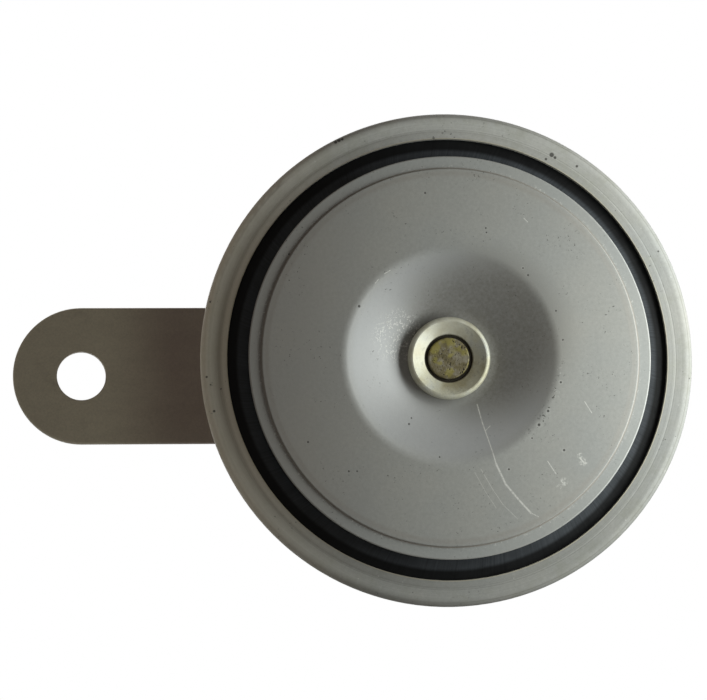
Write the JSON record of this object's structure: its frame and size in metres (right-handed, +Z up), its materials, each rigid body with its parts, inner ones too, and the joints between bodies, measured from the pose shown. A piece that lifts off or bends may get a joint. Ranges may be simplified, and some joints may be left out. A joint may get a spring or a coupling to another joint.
{
  "type": "car horn",
  "caption": "Round electric disc horn: painted tone disc on a diaphragm in a crimped cover ring, with coil, contact breaker, rear terminals and a flat mounting bracket.",
  "frame": {"origin": "centre of the bracket's mounting hole, on the bracket's rear face", "axes": "+X from the mounting hole to the horn's axis, +Y rearwards along the hole and the horn's axis, +Z up; the horn sounds towards -Y"},
  "size_m": [0.124, 0.0564, 0.09],
  "materials": {
    "ring_paint": "silver-grey enamel, fine turned lines",
    "disc_paint": "silver-grey enamel with scratches and specks",
    "housing_paint": "silver-grey enamel",
    "diaphragm_paint": "black semi-gloss enamel",
    "yellow_zinc": "yellow-passivated zinc",
    "armature_steel": "turned steel, yellow-brown passivation",
    "bright_steel": "bright steel",
    "gasket_rubber": "rubberised fibre",
    "stud_steel": "zinc-plated steel",
    "bobbin_nylon": "natural nylon",
    "enamelled_copper": "enamelled copper wire",
    "yoke_steel": "plated steel",
    "rivet_steel": "plated steel, hammered",
    "laminate": "phenolic laminate",
    "spring_steel": "blued spring steel",
    "plate_brass": "satin brass",
    "contact_metal": "hard contact metal",
    "bush_zinc": "zinc-plated steel",
    "screw_zinc": "zinc-plated steel with sealing lacquer",
    "terminal_moulding": "black moulding",
    "tab_brass": "dull tinned brass",
    "terminal_rivet_brass": "brass",
    "bracket_finish": "dull grey-brown coated steel",
    "washer_zinc": "zinc-plated steel",
    "spring_washer_zinc": "zinc-plated spring steel",
    "nut_zinc": "zinc-plated steel"
  },
  "bodies": {
    "root": {"cover_ring": "ring_paint", "housing": "housing_paint", "diaphragm": "diaphragm_paint", "front_gasket": "gasket_rubber", "rear_gasket": "gasket_rubber", "pole_core": "stud_steel", "coil_bobbin": "bobbin_nylon", "coil_winding": "enamelled_copper", "yoke_plate": "yoke_steel", "yoke_rivets": "rivet_steel", "leaf_insulator": "laminate", "moving_leaf": "spring_steel", "middle_insulator": "laminate", "fixed_plate": "plate_brass", "top_insulator": "laminate", "moving_contact": "contact_metal", "fixed_contact": "contact_metal", "contact_rivets": "rivet_steel", "adjuster_bush": "bush_zinc", "adjusting_screw": "screw_zinc", "adjuster_tip": "bobbin_nylon", "terminal_block": "terminal_moulding", "terminal_insulator": "laminate", "terminal_live": "tab_brass", "terminal_earth": "tab_brass", "terminal_rivets": "terminal_rivet_brass", "bracket": "bracket_finish", "flat_washer": "washer_zinc", "spring_washer": "spring_washer_zinc", "mounting_nut": "nut_zinc"},
    "tone_assembly": {"tone_disc": "disc_paint", "collar": "yellow_zinc", "armature": "armature_steel", "disc_spacer": "bright_steel"}
  },
  "joints": [
    {"name": "tone_disc_stroke", "type": "slide", "parent": "root", "child": "tone_assembly", "axis": [0, 1, 0], "range_m": [-0.0004, 0.0006], "stiffness_N_per_m": 2000, "deforming": ["diaphragm", "moving_leaf"]}
  ]
}
